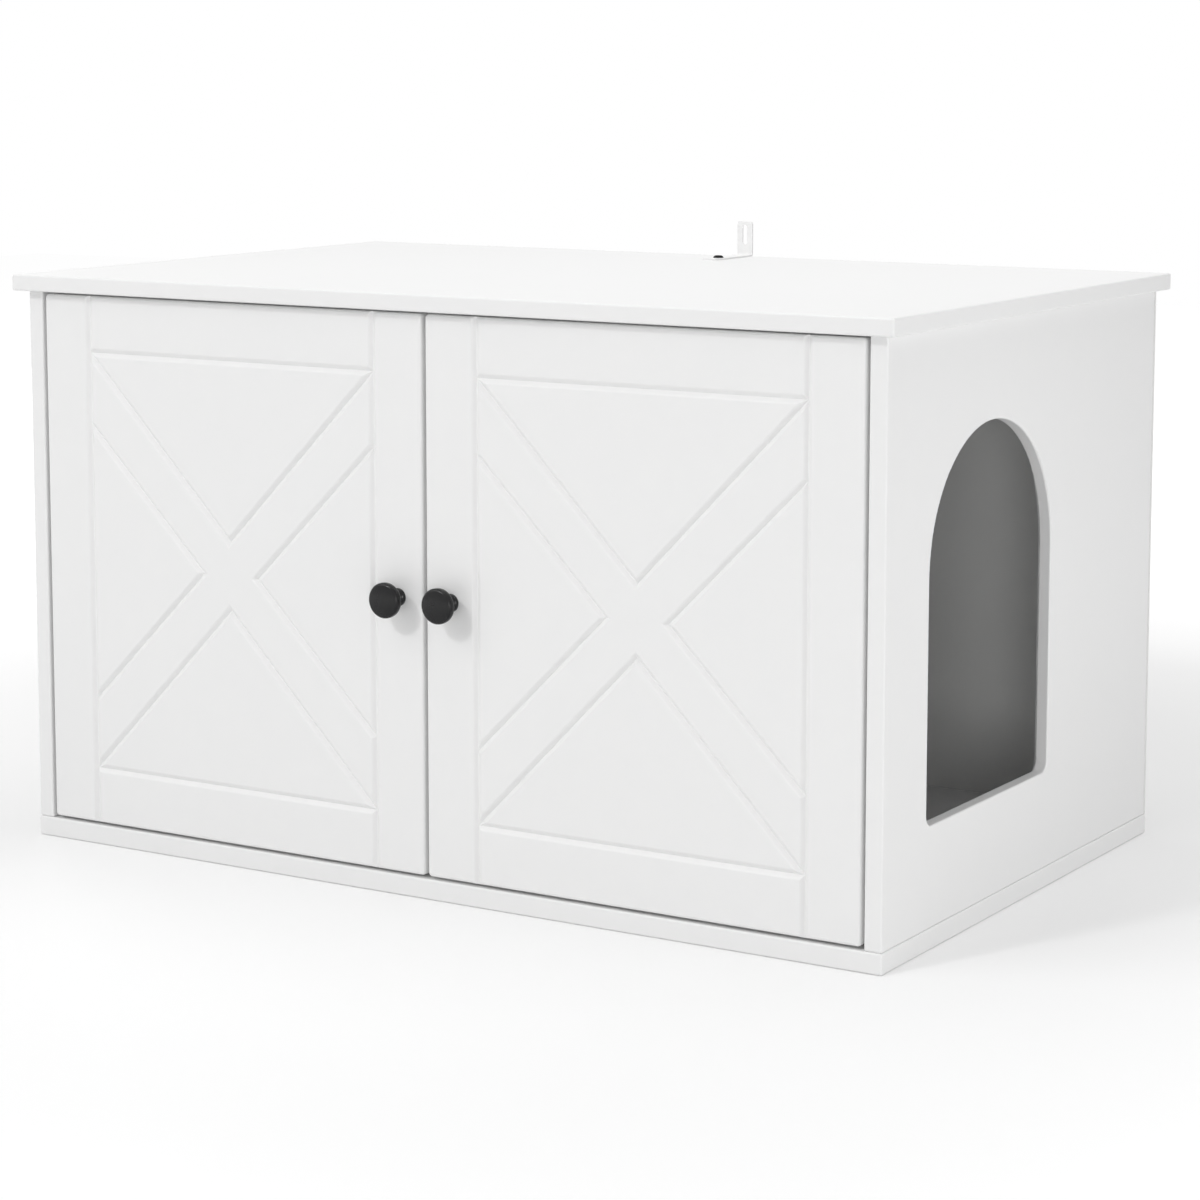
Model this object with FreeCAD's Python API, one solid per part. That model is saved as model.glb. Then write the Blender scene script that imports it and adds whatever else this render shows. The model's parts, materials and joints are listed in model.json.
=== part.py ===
# A two-door pet house of painted board, with an arched entrance in its right side.
# Millimetres, +Z up. The doors face -Y. The origin is the centre of the underside.
import FreeCAD, Part
import math
import os

Vector = FreeCAD.Vector
RIGHT = Vector(1, 0, 0)
BACK = Vector(0, 1, 0)
UP = Vector(0, 0, 1)
CENTRE = Vector(0, 0, 0)

# General values
cut_overrun = 2.0  # how far a cutting tool passes the face it leaves
fixing_clearance = 0.05  # radial room round a fastener or a pressed piece
running_clearance = 0.05  # radial room of a hinge pin in its eye
same_place = 1e-6  # places closer than this are one place

# Boards of the cabinet
base_width = 880.0
base_depth = 550.0
base_thickness = 18.0
side_thickness = 16.0
side_height = 493.0
side_set_in = 0.5  # the sides stand this far in from the ends of the bottom board
front_set_in = 0.8  # and this far behind its front edge
top_thickness = 15.0
top_overhang_side = 10.0
top_overhang_front = 10.5
top_overhang_back = 9.0
back_thickness = 3.0
back_set_in = 0.5
board_arris = 1.8  # rounding of the painted edges

# Arched entrance in the right side
entrance_set_back = 79.0  # front edge of the side to the opening
entrance_width = 240.0
entrance_sill_height = 86.0  # bottom board to the sill of the opening
entrance_head_room = 85.0  # crown of the opening to the upper end of the side
entrance_corner_radius = 10.0
entrance_arris = 1.5
entrance_rebate_depth = 4.5  # inner face of the side to the lip round the opening
entrance_rebate_width = 9.0

# Doors
door_thickness = 15.0
door_side_gap = 3.0
door_centre_gap = 3.4
door_bottom_gap = 2.4
door_top_gap = 2.5
door_corner_radius = 3.6
door_front_arris = 2.8
door_back_arris = 1.0

# Routed pattern of a door: two stiles, two rails and the four triangles between crossed bars
groove_depth = 3.0
groove_edge_radius = 4.0  # rounding where a groove's wall meets the face
groove_lip = 0.05  # the rounding ends this far outside the face
stile_inset = 51.5  # edge of the door to the middle of a stile groove
rail_inset = 51.5
apex_rise = 31.0  # middle of the cross to its upper and lower apexes
apex_reach = 30.0  # middle of the cross to its side apexes
side_triangle_drop = 65.0  # corner of the field to the end of a side triangle

# Knobs
knob_inset = 25.7  # meeting edge of the door to the knob's axis
knob_head_diameter = 31.0
knob_neck_diameter = 11.0
knob_base_diameter = 16.0
knob_projection = 24.6
knob_base_thickness = 3.0
knob_head_thickness = 8.5
knob_dome = 1.4  # rise of the face over its rim
knob_rim_radius = 2.4
knob_screw_diameter = 4.0
knob_screw_reach = 11.0  # into the knob
knob_screw_head_diameter = 8.0
knob_screw_head_height = 2.4

# Cup hinges: a drawn cup in the door, and a bent arm on the side panel
hinge_inset = 97.0  # top and bottom of a door to the middle of a hinge
cup_diameter = 35.0
cup_depth = 11.5
cup_wall = 1.0
cup_edge_distance = 4.0  # door edge to the rim of the cup
cup_flange_diameter = 40.0
cup_flange_thickness = 1.2
cup_screw_spacing = 48.0
cup_ear_width = 12.0
cup_screw_diameter = 3.5
cup_screw_length = 11.0
cup_screw_head_diameter = 6.8
cup_screw_head_height = 1.8
pivot_edge_distance = 10.0  # door edge to the axis that the door turns on
pivot_depth = 8.0  # face of the door to that axis
pivot_pin_diameter = 3.0
arm_eye_diameter = 6.4
arm_thickness = 2.4
arm_width = 12.0
arm_bend_radius = 1.0
arm_neck_reach = 11.0  # axis to the neck that leaves the cup
arm_bridge_rise = 13.2  # axis to the bridge over the door's edge
arm_foot_depth = 66.0  # front plane to the far end of the foot
arm_foot_length = 40.0
arm_foot_width = 18.0
arm_foot_corner = 5.0
arm_screw_end_distance = 9.0  # ends of the foot to its screws
arm_screw_diameter = 3.5
arm_screw_length = 14.0
arm_screw_head_diameter = 6.8
arm_screw_head_height = 1.8

# Double magnetic catch under the top, and the doors' strike plates
catch_width = 48.0
catch_depth = 20.0
catch_height = 18.0
catch_corner = 2.0
catch_ear_length = 12.0
catch_ear_thickness = 3.0
catch_gap = 0.3  # magnet to strike plate with the doors shut
catch_screw_diameter = 3.0
catch_screw_length = 13.0
catch_screw_head_diameter = 6.0
catch_screw_head_height = 1.6
magnet_spacing = 26.0  # middle of one magnet to the middle of the other
magnet_length = 16.0
magnet_height = 6.0
magnet_depth = 9.0
pole_thickness = 1.2
strike_length = 20.0
strike_height = 11.0
strike_thickness = 1.2
strike_corner = 2.5
strike_screw_diameter = 2.5
strike_screw_length = 9.0
strike_screw_head_diameter = 4.6
strike_screw_head_height = 1.0

# Cam fittings and dowels that hold the top on the sides
cam_end_distance = 70.0  # front and back of a side to its cam fittings
cam_drop = 34.0  # upper end of a side to the middle of a cam
cam_diameter = 15.0
cam_thickness = 12.0
cam_bolt_thread_diameter = 6.0
cam_bolt_thread_length = 10.0
cam_bolt_shank_diameter = 5.0
cam_bolt_head_diameter = 7.0
cam_bolt_head_length = 3.0
cam_bolt_hole_diameter = 8.0
dowel_diameter = 8.0
dowel_length = 30.0
dowel_top_depth = 10.0  # of its length, in the top board
dowel_base_depth = 12.0  # of its length, in the bottom board
dowel_chamfer = 1.0
dowel_cam_spacing = 32.0

# Screws up through the bottom board into the sides
base_screw_end_distance = 60.0
base_screw_diameter = 6.4
base_screw_length = 50.0
base_screw_head_diameter = 9.6
base_screw_head_height = 4.0
base_screw_tip = 5.0

# Nails through the back panel into the sides
nail_count = 5
nail_end_distance = 30.0
nail_diameter = 1.8
nail_length = 20.0
nail_head_diameter = 4.5
nail_head_height = 0.8

# Wall bracket on the back edge of the top
bracket_x = 2.0  # middle of the top to the middle of the bracket
bracket_width = 17.0
bracket_thickness = 1.5
bracket_leaf_length = 73.0
bracket_upright_height = 34.5
bracket_bend_radius = 1.5
bracket_corner = 3.0
bracket_slot_width = 5.0
bracket_slot_length = 19.5
bracket_slot_top_margin = 3.5
bracket_screw_set_in = 54.5  # back edge of the top to the screw
bracket_screw_diameter = 4.0
bracket_screw_length = 14.0
bracket_screw_head_diameter = 10.4
bracket_screw_head_height = 2.2

# Angle of a groove's walls to the face of the door, in degrees
groove_wall_angle = 40.0

# Shares of a fastener's own sizes
screw_tip_share = 0.35  # pointed part of a screw's or a nail's length
head_crown_share = 0.45  # height of a pan head's rounded part

# Places worked out from the sizes
base_front = -base_depth / 2
base_back = base_depth / 2
deck = base_thickness
ceiling = deck + side_height
side_outer = base_width / 2 - side_set_in
side_inner = side_outer - side_thickness
side_middle = side_outer - side_thickness / 2
front_plane = base_front + front_set_in
side_back = base_back - back_set_in - back_thickness
top_surface = ceiling + top_thickness
top_back = base_back + top_overhang_back

door_hinge_edge = side_inner - door_side_gap
door_free_edge = door_centre_gap / 2
door_bottom = deck + door_bottom_gap
door_top = ceiling - door_top_gap
door_middle_x = (door_hinge_edge + door_free_edge) / 2
door_middle_z = (door_bottom + door_top) / 2
door_back = front_plane + door_thickness
hinge_heights = (door_bottom + hinge_inset, door_top - hinge_inset)
pivot_x = door_hinge_edge - pivot_edge_distance
pivot_y = front_plane + pivot_depth
cup_x = door_hinge_edge - cup_edge_distance - cup_diameter / 2
knob_x = door_free_edge + knob_inset
knob_z = top_surface / 2
arm_screw_places = (
    front_plane + arm_foot_depth - arm_foot_length + arm_screw_end_distance,
    front_plane + arm_foot_depth - arm_screw_end_distance,
)
magnet_x = magnet_spacing / 2
catch_front = door_back + strike_thickness + catch_gap
catch_bottom = ceiling - catch_height
catch_middle_z = ceiling - catch_height / 2
catch_ear_x = catch_width / 2 + catch_ear_length / 2
catch_middle_y = catch_front + catch_depth / 2
cam_height = ceiling - cam_drop
cam_places = (front_plane + cam_end_distance, side_back - cam_end_distance)
top_dowel_places = (cam_places[0] + dowel_cam_spacing, cam_places[1] - dowel_cam_spacing)
base_screw_places = (
    front_plane + base_screw_end_distance,
    (front_plane + side_back) / 2,
    side_back - base_screw_end_distance,
)
base_dowel_places = (
    base_screw_places[0] + dowel_cam_spacing,
    base_screw_places[2] - dowel_cam_spacing,
)
nail_pitch = (side_height - 2 * nail_end_distance) / (nail_count - 1)
nail_heights = [deck + nail_end_distance + n * nail_pitch for n in range(nail_count)]
bracket_screw_y = top_back - bracket_screw_set_in
SIDES = (1, -1)


def box(x0, x1, y0, y1, z0, z1):
    return Part.makeBox(x1 - x0, y1 - y0, z1 - z0, Vector(x0, y0, z0))


def rod(diameter, length, start, direction):
    return Part.makeCylinder(diameter / 2, length, start, direction)


def edges_along(shape, axis):
    """The straight edges of a shape that run along one axis."""
    found = []
    for edge in shape.Edges:
        span = edge.Vertexes[-1].Point - edge.Vertexes[0].Point
        if span.Length > 0 and abs(abs(span.dot(axis)) / span.Length - 1) < same_place:
            found.append(edge)
    return found


def edges_at(shape, axis, place):
    """The edges of a shape that lie in the plane across one axis at a place."""
    return [
        edge
        for edge in shape.Edges
        if abs(edge.BoundBox.Center.dot(axis) - place) < same_place
        and abs((edge.Vertexes[-1].Point - edge.Vertexes[0].Point).dot(axis)) < same_place
    ]


def board(x0, x1, y0, y1, z0, z1):
    """A painted board with every edge eased."""
    blank = box(x0, x1, y0, y1, z0, z1)
    return blank.makeFillet(board_arris, blank.Edges)


def turned(outline, start, direction):
    """A solid of revolution: outline edges in (radius, 0, height), stood along a direction."""
    face = Part.Face(Part.Wire(outline))
    solid = face.revolve(CENTRE, UP, 360)
    solid.Placement = FreeCAD.Placement(start, FreeCAD.Rotation(UP, direction))
    return solid


def dome(rim_radius, rim_height, top_height):
    """A round cap in section: an arc of a sphere from its rim to its top on the axis."""
    rise = top_height - rim_height
    radius = (rim_radius ** 2 + rise ** 2) / (2 * abs(rise))
    half = math.asin(rim_radius / radius) / 2
    drop = math.copysign(radius * (1 - math.cos(half)), rise)
    rim = Vector(rim_radius, 0, rim_height)
    middle = Vector(radius * math.sin(half), 0, top_height - drop)
    return Part.Arc(rim, middle, Vector(0, 0, top_height)).toShape()


def polyline(points):
    """Line edges through (radius, height) pairs, closed back to the first."""
    corners = [Vector(radius, 0, height) for radius, height in points]
    return [Part.makeLine(a, b) for a, b in zip(corners, corners[1:] + corners[:1])]


def pan_screw(diameter, length, head_diameter, head_height, seat, inward):
    """A pan-head screw whose head sits on seat and whose shank runs inward."""
    tip_start = length * (1 - screw_tip_share)
    crown_start = head_height * (1 - head_crown_share)
    head = head_diameter / 2
    shank = diameter / 2
    outline = [
        dome(head, -crown_start, -head_height),
        Part.makeLine(Vector(0, 0, -head_height), Vector(0, 0, length)),
        Part.makeLine(Vector(0, 0, length), Vector(shank, 0, tip_start)),
        Part.makeLine(Vector(shank, 0, tip_start), Vector(shank, 0, 0)),
        Part.makeLine(Vector(shank, 0, 0), Vector(head, 0, 0)),
        Part.makeLine(Vector(head, 0, 0), Vector(head, 0, -crown_start)),
    ]
    return turned(outline, seat, inward)


def screw_hole(diameter, length, seat, inward):
    """The bore that a screw or a nail sits in, started outside the face."""
    start = seat - inward * cut_overrun
    depth = cut_overrun + length + fixing_clearance
    return rod(diameter + 2 * fixing_clearance, depth, start, inward)


def mirrored(shape):
    return shape.mirror(CENTRE, RIGHT)


def both_sides(shapes):
    """Copies of right-hand solids with their left-hand twins, as one group."""
    return Part.makeCompound(shapes + [mirrored(shape) for shape in shapes])


# Joinery that holds the boards together
def dowel(x, y, start_z):
    blank = rod(dowel_diameter, dowel_length, Vector(x, y, start_z), UP)
    return blank.makeChamfer(dowel_chamfer, [e for e in blank.Edges if e.Closed])


def dowel_hole(x, y, start_z):
    width = dowel_diameter + 2 * fixing_clearance
    length = dowel_length + 2 * fixing_clearance
    return rod(width, length, Vector(x, y, start_z - fixing_clearance), UP)


def dowel_starts():
    """The foot of each dowel on the right side: those in the base, then those in the top."""
    low = deck - dowel_base_depth
    high = ceiling + dowel_top_depth - dowel_length
    places = [(side_middle, y, low) for y in base_dowel_places]
    return places + [(side_middle, y, high) for y in top_dowel_places]


def cam_bolt(y):
    """A bolt screwed up into the top, with its head held in the cam."""
    neck_end = cam_drop + cam_bolt_head_length / 2
    outline = polyline([
        (0, -cam_bolt_thread_length),
        (cam_bolt_thread_diameter / 2, -cam_bolt_thread_length),
        (cam_bolt_thread_diameter / 2, 0),
        (cam_bolt_shank_diameter / 2, 0),
        (cam_bolt_shank_diameter / 2, neck_end - cam_bolt_head_length),
        (cam_bolt_head_diameter / 2, neck_end - cam_bolt_head_length),
        (cam_bolt_head_diameter / 2, neck_end),
        (0, neck_end),
    ])
    return turned(outline, Vector(side_middle, y, ceiling), -UP)


def cam_bolt_thread_hole(y):
    return screw_hole(
        cam_bolt_thread_diameter, cam_bolt_thread_length, Vector(side_middle, y, ceiling), UP
    )


def cam_bolt_slot(y):
    """The bore down the end of a side that the bolt passes through."""
    start = Vector(side_middle, y, ceiling + cut_overrun)
    return rod(cam_bolt_hole_diameter, cut_overrun + cam_drop, start, -UP)


def cam_bolt_room(y):
    """The hollow of a cam that takes the bolt's head."""
    width = cam_bolt_head_diameter + 2 * fixing_clearance
    start = Vector(side_middle, y, cam_height - cam_bolt_head_length)
    return rod(width, cam_drop + cut_overrun, start, UP)


def cam_disc(y):
    disc = rod(cam_diameter, cam_thickness, Vector(side_inner, y, cam_height), RIGHT)
    return disc.cut(cam_bolt_room(y))


def cam_pocket(y):
    start = Vector(side_inner - cut_overrun, y, cam_height)
    depth = cut_overrun + cam_thickness + fixing_clearance
    return rod(cam_diameter + 2 * fixing_clearance, depth, start, RIGHT)


def base_screw_outline(clearance, overrun):
    """Half the section of a flat-headed screw, or of the bore that it sits in."""
    head_radius = base_screw_head_diameter / 2 + clearance
    radius = base_screw_diameter / 2 + clearance
    end = base_screw_length + clearance
    return polyline([
        (0, -overrun),
        (head_radius, -overrun),
        (head_radius, base_screw_head_height + clearance),
        (radius, base_screw_head_height + clearance),
        (radius, end - base_screw_tip),
        (0, end),
    ])


def base_screw(y, clearance=0, overrun=0):
    return turned(base_screw_outline(clearance, overrun), Vector(side_middle, y, 0), UP)


def base_screw_hole(y):
    return base_screw(y, fixing_clearance, cut_overrun)


def nail_seats():
    rear = side_back + back_thickness
    return [Vector(side_middle, rear, z) for z in nail_heights]


def nail(seat):
    return pan_screw(nail_diameter, nail_length, nail_head_diameter, nail_head_height, seat, -BACK)


def nail_hole(seat):
    return screw_hole(nail_diameter, nail_length, seat, -BACK)


# Boards
def bottom_panel():
    half = base_width / 2
    panel = board(-half, half, base_front, base_back, 0, deck)
    holes = [base_screw_hole(y) for y in base_screw_places]
    holes += [dowel_hole(*start) for start in dowel_starts() if start[2] < deck]
    return panel.cut(both_sides(holes))


def top_panel():
    half = base_width / 2 + top_overhang_side
    front = base_front - top_overhang_front
    panel = board(-half, half, front, top_back, ceiling, top_surface)
    holes = [cam_bolt_thread_hole(y) for y in cam_places]
    holes += [dowel_hole(*start) for start in dowel_starts() if start[2] > deck]
    holes += [catch_screw_hole()]
    return panel.cut(both_sides(holes)).cut(bracket_screw_hole())


def side_blank():
    """A right-hand side without its entrance, bored for its fittings."""
    panel = board(side_inner, side_outer, front_plane, side_back, deck, ceiling)
    holes = [dowel_hole(*start) for start in dowel_starts()]
    holes += [base_screw_hole(y) for y in base_screw_places]
    holes += [cam_bolt_slot(y) for y in cam_places]
    holes += [cam_pocket(y) for y in cam_places]
    holes += [nail_hole(seat) for seat in nail_seats()]
    holes += [arm_screw_hole(seat) for seat in arm_screw_seats()]
    return panel.cut(Part.makeCompound(holes))


def entrance_outline(x, growth):
    """The entrance in the plane at x: a sill with round corners and a round head, grown all round."""
    near = front_plane + entrance_set_back - growth
    far = near + entrance_width + 2 * growth
    sill = deck + entrance_sill_height - growth
    radius = entrance_width / 2 + growth
    spring = ceiling - entrance_head_room - entrance_width / 2
    corner = entrance_corner_radius + growth
    inset = corner * (1 - math.sqrt(0.5))
    points = {
        "near_spring": Vector(x, near, spring),
        "crown": Vector(x, near + radius, spring + radius),
        "far_spring": Vector(x, far, spring),
        "far_corner": Vector(x, far, sill + corner),
        "far_bend": Vector(x, far - inset, sill + inset),
        "far_sill": Vector(x, far - corner, sill),
        "near_sill": Vector(x, near + corner, sill),
        "near_bend": Vector(x, near + inset, sill + inset),
        "near_corner": Vector(x, near, sill + corner),
    }
    return Part.Wire([
        Part.Arc(points["near_spring"], points["crown"], points["far_spring"]).toShape(),
        Part.makeLine(points["far_spring"], points["far_corner"]),
        Part.Arc(points["far_corner"], points["far_bend"], points["far_sill"]).toShape(),
        Part.makeLine(points["far_sill"], points["near_sill"]),
        Part.Arc(points["near_sill"], points["near_bend"], points["near_corner"]).toShape(),
        Part.makeLine(points["near_corner"], points["near_spring"]),
    ])


def entrance_cutter(growth, depth):
    """The entrance's shape, cut outward from the inner face of the side to a depth."""
    outline = entrance_outline(side_inner - cut_overrun, growth)
    return Part.Face(outline).extrude(RIGHT * (cut_overrun + depth))


def right_side_panel():
    """The side with the entrance: an arched opening whose lip is rebated on the inside."""
    through = entrance_cutter(0, side_thickness + cut_overrun)
    rebate = entrance_cutter(entrance_rebate_width, entrance_rebate_depth)
    panel = side_blank().cut(through).cut(rebate)
    near = front_plane + entrance_set_back
    far = near + entrance_width
    sill = deck + entrance_sill_height
    crown = ceiling - entrance_head_room
    rim = []
    for plane in (side_inner + entrance_rebate_depth, side_outer):
        for edge in edges_at(panel, RIGHT, plane):
            extent = edge.BoundBox
            across = near - cut_overrun < extent.YMin and extent.YMax < far + cut_overrun
            upward = sill - cut_overrun < extent.ZMin and extent.ZMax < crown + cut_overrun
            if across and upward:
                rim.append(edge)
    return panel.makeFillet(entrance_arris, rim)


def left_side_panel():
    return mirrored(side_blank())


def back_panel():
    sheet = box(-side_outer, side_outer, side_back, side_back + back_thickness, deck, ceiling)
    return sheet.cut(both_sides([nail_hole(seat) for seat in nail_seats()]))


# Doors: right-hand pieces, mirrored for the left
def groove_section(start, across):
    """The section of a routed groove: a V with rounded edges, open outside the door's face."""
    angle = math.radians(groove_wall_angle)
    tangent = groove_edge_radius * math.tan(angle / 2)
    meeting = (groove_depth + groove_lip) / math.tan(angle)
    wall_end = (meeting - tangent * math.cos(angle), groove_lip - tangent * math.sin(angle))
    edge = meeting + tangent
    bend = (
        edge - groove_edge_radius * math.sin(angle / 2),
        groove_lip - groove_edge_radius * (1 - math.cos(angle / 2)),
    )

    def place(reach, height):
        return start + across * reach - BACK * height

    edges = [Part.makeLine(place(-edge, cut_overrun), place(edge, cut_overrun))]
    bottom = place(0, -groove_depth)
    for side in SIDES:
        outer = place(side * edge, groove_lip)
        inner = place(side * wall_end[0], wall_end[1])
        edges.append(Part.makeLine(place(side * edge, cut_overrun), outer))
        edges.append(Part.Arc(outer, place(side * bend[0], bend[1]), inner).toShape())
        edges.append(Part.makeLine(inner, bottom))
    return Part.Wire(Part.sortEdges(edges)[0])


def groove(points):
    """A routed groove through (x, z) points of the door's face, mitred where it turns."""
    route = [Vector(x, front_plane, z) for x, z in points]
    across = (route[1] - route[0]).cross(BACK).normalize()
    section = groove_section(route[0], across)
    return Part.makePolygon(route).makePipeShell([section], True, False, 1)


def door_grooves():
    left = door_free_edge + stile_inset
    right = door_hinge_edge - stile_inset
    low = door_bottom + rail_inset
    high = door_top - rail_inset
    x, z = door_middle_x, door_middle_z
    routes = [
        [(left, door_bottom - cut_overrun), (left, door_top + cut_overrun)],
        [(right, door_bottom - cut_overrun), (right, door_top + cut_overrun)],
        [(left, low), (right, low)],
        [(left, high), (right, high)],
        [(left, high), (x, z + apex_rise), (right, high)],
        [(left, low), (x, z - apex_rise), (right, low)],
        [(left, high - side_triangle_drop), (x - apex_reach, z), (left, low + side_triangle_drop)],
        [(right, high - side_triangle_drop), (x + apex_reach, z), (right, low + side_triangle_drop)],
    ]
    return [groove(route) for route in routes]


def right_door_panel():
    panel = box(door_free_edge, door_hinge_edge, front_plane, door_back, door_bottom, door_top)
    panel = panel.makeFillet(door_corner_radius, edges_along(panel, BACK))
    panel = panel.makeFillet(door_front_arris, edges_at(panel, BACK, front_plane))
    panel = panel.makeFillet(door_back_arris, edges_at(panel, BACK, door_back))
    for cutter in door_grooves():
        panel = panel.cut(cutter)
    holes = [cup_pocket(z) for z in hinge_heights]
    holes += [cup_screw_hole(seat) for seat in cup_screw_seats()]
    holes += [knob_screw_hole(), strike_screw_hole()]
    return panel.cut(Part.makeCompound(holes))


def knob_seat():
    return Vector(knob_x, front_plane, knob_z)


def right_knob():
    """A turned knob: a foot, a hollowed neck and a rounded, slightly domed head."""
    head = knob_head_diameter / 2
    under_head = knob_projection - knob_head_thickness
    rim_height = knob_projection - knob_dome
    waist_height = (knob_base_thickness + under_head) / 2
    bend = knob_rim_radius * math.sqrt(0.5)
    rim_middle_radius = head - knob_rim_radius
    low_middle = under_head + knob_rim_radius
    high_middle = rim_height - knob_rim_radius
    foot_edge = Vector(knob_base_diameter / 2, 0, 0)
    foot_top = Vector(knob_base_diameter / 2, 0, knob_base_thickness)
    waist = Vector(knob_neck_diameter / 2, 0, waist_height)
    under_edge = Vector(rim_middle_radius, 0, under_head)
    under_bend = Vector(rim_middle_radius + bend, 0, low_middle - bend)
    under_side = Vector(head, 0, low_middle)
    rim_side = Vector(head, 0, high_middle)
    rim_bend = Vector(rim_middle_radius + bend, 0, high_middle + bend)
    face_edge = Vector(rim_middle_radius, 0, rim_height)
    outline = [
        Part.makeLine(CENTRE, foot_edge),
        Part.makeLine(foot_edge, foot_top),
        Part.Arc(foot_top, waist, under_edge).toShape(),
        Part.Arc(under_edge, under_bend, under_side).toShape(),
        Part.makeLine(under_side, rim_side),
        Part.Arc(rim_side, rim_bend, face_edge).toShape(),
        dome(rim_middle_radius, rim_height, knob_projection),
        Part.makeLine(Vector(0, 0, knob_projection), CENTRE),
    ]
    knob = turned(outline, knob_seat(), -BACK)
    bore = screw_hole(knob_screw_diameter, knob_screw_reach, knob_seat(), -BACK)
    return knob.cut(bore)


def right_knob_screw():
    seat = Vector(knob_x, door_back, knob_z)
    return pan_screw(
        knob_screw_diameter,
        door_thickness + knob_screw_reach,
        knob_screw_head_diameter,
        knob_screw_head_height,
        seat,
        -BACK,
    )


def knob_screw_hole():
    seat = Vector(knob_x, door_back, knob_z)
    return screw_hole(knob_screw_diameter, door_thickness + cut_overrun, seat, -BACK)


# Hinges: right-hand pieces, mirrored for the left
def cup_pocket(z):
    start = Vector(cup_x, door_back + cut_overrun, z)
    depth = cut_overrun + cup_depth + fixing_clearance
    return rod(cup_diameter + 2 * fixing_clearance, depth, start, -BACK)


def cup_screw_seats():
    spread = cup_screw_spacing / 2
    back = door_back + cup_flange_thickness
    return [Vector(cup_x, back, z + side * spread) for z in hinge_heights for side in SIDES]


def cup_screw(seat):
    return pan_screw(
        cup_screw_diameter,
        cup_screw_length,
        cup_screw_head_diameter,
        cup_screw_head_height,
        seat,
        -BACK,
    )


def cup_screw_hole(seat):
    return screw_hole(cup_screw_diameter, cup_screw_length, seat, -BACK)


def cup_blank(z):
    return rod(cup_diameter, cup_depth, Vector(cup_x, door_back, z), -BACK)


def pivot_bore(z, clearance):
    """A bore on the hinge axis, as long as the cup is wide."""
    start = Vector(pivot_x, pivot_y, z - cup_diameter / 2)
    return rod(pivot_pin_diameter + 2 * clearance, cup_diameter, start, UP)


def pivot_pin(z):
    """The pin across a cup, its ends dressed flush with the outside of the cup."""
    return pivot_bore(z, 0).common(cup_blank(z))


def hinge_cup(z):
    """A drawn cup with a flange on the door's back, two ears, and holes for the pivot pin."""
    back = Vector(cup_x, door_back, z)
    spread = cup_screw_spacing / 2
    flange = rod(cup_flange_diameter, cup_flange_thickness, back, BACK)
    half_ear = cup_ear_width / 2
    strap = box(
        cup_x - half_ear, cup_x + half_ear,
        door_back, door_back + cup_flange_thickness,
        z - spread, z + spread,
    )
    ears = [
        rod(cup_ear_width, cup_flange_thickness, back + UP * (side * spread), BACK)
        for side in SIDES
    ]
    cup = cup_blank(z).fuse([flange, strap] + ears).removeSplitter()
    hollow = rod(
        cup_diameter - 2 * cup_wall,
        cup_depth - cup_wall + cup_flange_thickness + cut_overrun,
        back - BACK * (cup_depth - cup_wall),
        BACK,
    )
    holes = [cup_screw_hole(seat) for seat in cup_screw_seats()]
    return cup.cut(hollow).cut(Part.makeCompound(holes)).cut(pivot_bore(z, fixing_clearance))


def arm_foot(z):
    """The flat foot of an arm, screwed to the side panel."""
    far = front_plane + arm_foot_depth
    half = arm_foot_width / 2
    plate = box(
        side_inner - arm_thickness, side_inner, far - arm_foot_length, far, z - half, z + half
    )
    return plate.makeFillet(arm_foot_corner, edges_along(plate, RIGHT))


def arm_strip(z):
    """The bent strip of an arm: a tongue in the cup, a neck, a bridge and a heel on the side."""
    near_neck = pivot_x - arm_neck_reach
    far_neck = near_neck - arm_thickness
    heel = side_inner - arm_thickness
    tongue_front = pivot_y - arm_thickness / 2
    tongue_back = pivot_y + arm_thickness / 2
    bridge_front = pivot_y + arm_bridge_rise
    bridge_back = bridge_front + arm_thickness
    heel_end = front_plane + arm_foot_depth - arm_foot_length / 2
    outer_bends = [(far_neck, tongue_front), (far_neck, bridge_back), (side_inner, bridge_front)]
    inner_bends = [(near_neck, tongue_back), (near_neck, bridge_front), (heel, bridge_back)]
    corners = [
        (pivot_x, tongue_front), outer_bends[0], outer_bends[1], inner_bends[2],
        (heel, heel_end), (side_inner, heel_end),
        outer_bends[2], inner_bends[1], inner_bends[0], (pivot_x, tongue_back),
    ]
    low = z - arm_width / 2
    points = [Vector(x, y, low) for x, y in corners]
    strip = Part.Face(Part.makePolygon(points + points[:1])).extrude(UP * arm_width)
    for bends, radius in (
        (outer_bends, arm_bend_radius + arm_thickness),
        (inner_bends, arm_bend_radius),
    ):
        for x, y in bends:
            edges = [
                edge
                for edge in edges_along(strip, UP)
                if math.hypot(edge.BoundBox.Center.x - x, edge.BoundBox.Center.y - y) < same_place
            ]
            strip = strip.makeFillet(radius, edges)
    return strip


def hinge_arm(z):
    low = Vector(pivot_x, pivot_y, z - arm_width / 2)
    eye = rod(arm_eye_diameter, arm_width, low, UP)
    arm = arm_strip(z).fuse([eye, arm_foot(z)]).removeSplitter()
    arm = arm.cut(pivot_bore(z, running_clearance))
    return arm.cut(Part.makeCompound([arm_screw_hole(seat) for seat in arm_screw_seats()]))


def arm_screw_seats():
    x = side_inner - arm_thickness
    return [Vector(x, y, z) for z in hinge_heights for y in arm_screw_places]


def arm_screw(seat):
    return pan_screw(
        arm_screw_diameter,
        arm_screw_length,
        arm_screw_head_diameter,
        arm_screw_head_height,
        seat,
        RIGHT,
    )


def arm_screw_hole(seat):
    return screw_hole(arm_screw_diameter, arm_screw_length, seat, RIGHT)


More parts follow.
